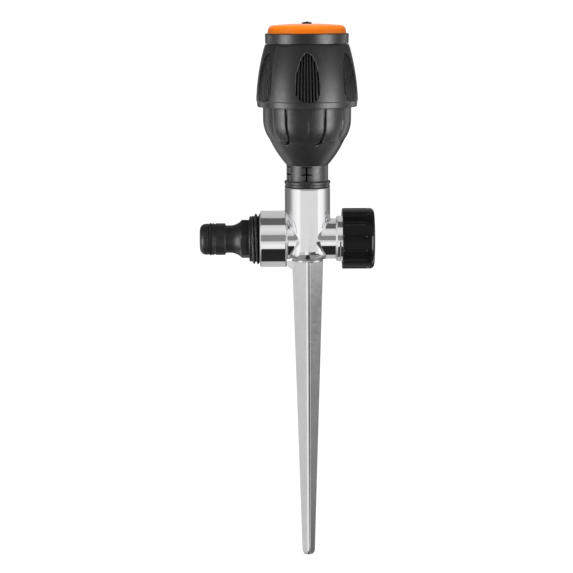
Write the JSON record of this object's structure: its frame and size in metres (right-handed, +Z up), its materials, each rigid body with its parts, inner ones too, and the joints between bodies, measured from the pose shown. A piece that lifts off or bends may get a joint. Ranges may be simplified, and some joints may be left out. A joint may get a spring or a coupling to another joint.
{
  "type": "rotating garden sprinkler",
  "caption": "Turbine-driven rotating garden sprinkler head on a chrome flow-through base with hose nipple, screw end cap and cruciform ground spike.",
  "frame": {"origin": "on the upright axis at the ground line, at the spike's flange", "axes": "+Z up along the upright axis towards the jets, -X towards the hose nipple, +X towards the end cap"},
  "size_m": [0.0929, 0.0536, 0.289],
  "materials": {
    "chrome": "polished zinc die casting, chrome plated",
    "spike_metal": "satin plated die casting",
    "black_satin": "satin moulded ABS with a fine texture",
    "black_nylon": "smooth moulded nylon",
    "black_gloss": "glossy moulded plastic",
    "orange": "glossy moulded ABS",
    "rubber": "moulded nitrile",
    "acetal": "natural acetal",
    "steel": "turned stainless steel",
    "brass": "turned brass"
  },
  "bodies": {
    "base": {"base_casting": "chrome", "ground_spike": "spike_metal", "spike_nut": "steel", "spike_nut_seal": "rubber", "hose_adaptor": "black_nylon", "adaptor_o_ring": "rubber", "adaptor_washer": "rubber", "inlet_screen": "steel", "riser_nipple": "black_nylon", "riser_seal": "rubber", "neck_o_ring": "rubber", "neck_collar": "black_satin", "lower_bowl": "black_satin", "head_core": "black_nylon", "core_seal": "rubber", "sleeve_seals": "rubber", "shaft_seal": "rubber", "collar_ring": "black_satin", "arbor_pin": "steel", "stator_plate": "acetal", "gearbox_case": "acetal", "lower_bush": "brass", "gearbox_lid": "acetal", "gearbox_screws": "steel", "port_plate": "acetal"},
    "turret": {"turret_cap": "orange", "nozzle_insert": "black_gloss", "turret_shaft": "acetal", "thrust_washer": "acetal", "output_gear": "acetal"},
    "turbine": {"turbine_rotor": "acetal", "turbine_shaft": "steel", "turbine_pinion": "brass"},
    "idler_1": {"idler_gear_1": "acetal"},
    "idler_2": {"idler_gear_2": "acetal"},
    "idler_3": {"idler_gear_3": "acetal"},
    "barrel": {"barrel_sleeve": "black_satin", "throttle_ring": "acetal", "throttle_key": "steel"},
    "cap_seal": {"cap_washer": "rubber"},
    "cap": {"end_cap": "black_gloss"}
  },
  "joints": [
    {"name": "turret_turn", "type": "hinge", "parent": "base", "child": "turret", "pos_m": [0, 0, 0.12], "axis": [0, 0, 1], "continuous": true},
    {"name": "idler_3_spin", "type": "hinge", "parent": "base", "child": "idler_3", "pos_m": [0, 0.008, 0.08], "axis": [0, 0, 1], "continuous": true},
    {"name": "idler_2_spin", "type": "hinge", "parent": "base", "child": "idler_2", "pos_m": [0, 0, 0.08], "axis": [0, 0, 1], "continuous": true},
    {"name": "idler_1_spin", "type": "hinge", "parent": "base", "child": "idler_1", "pos_m": [0, 0.008, 0.08], "axis": [0, 0, 1], "continuous": true},
    {"name": "turbine_spin", "type": "hinge", "parent": "base", "child": "turbine", "pos_m": [0, 0, 0.072], "axis": [0, 0, 1], "continuous": true},
    {"name": "barrel_turn", "type": "hinge", "parent": "base", "child": "barrel", "pos_m": [0, 0, 0.1], "axis": [0, 0, 1], "range_deg": [0, 60]},
    {"name": "cap_travel", "type": "slide", "parent": "base", "child": "cap_seal", "axis": [1, 0, 0], "range_m": [0, 0.00894]},
    {"name": "cap_turn", "type": "hinge", "parent": "cap_seal", "child": "cap", "pos_m": [0.025, 0, 0.0139], "axis": [1, 0, 0], "range_deg": [0, 1440]}
  ],
  "couplings": [
    {"joint": "idler_3_spin", "follows": "turret_turn", "ratio": -3},
    {"joint": "idler_2_spin", "follows": "turret_turn", "ratio": 9},
    {"joint": "idler_1_spin", "follows": "turret_turn", "ratio": -27},
    {"joint": "turbine_spin", "follows": "turret_turn", "ratio": 81},
    {"joint": "cap_travel", "follows": "cap_turn", "m_per_rad": 0.00035157}
  ]
}
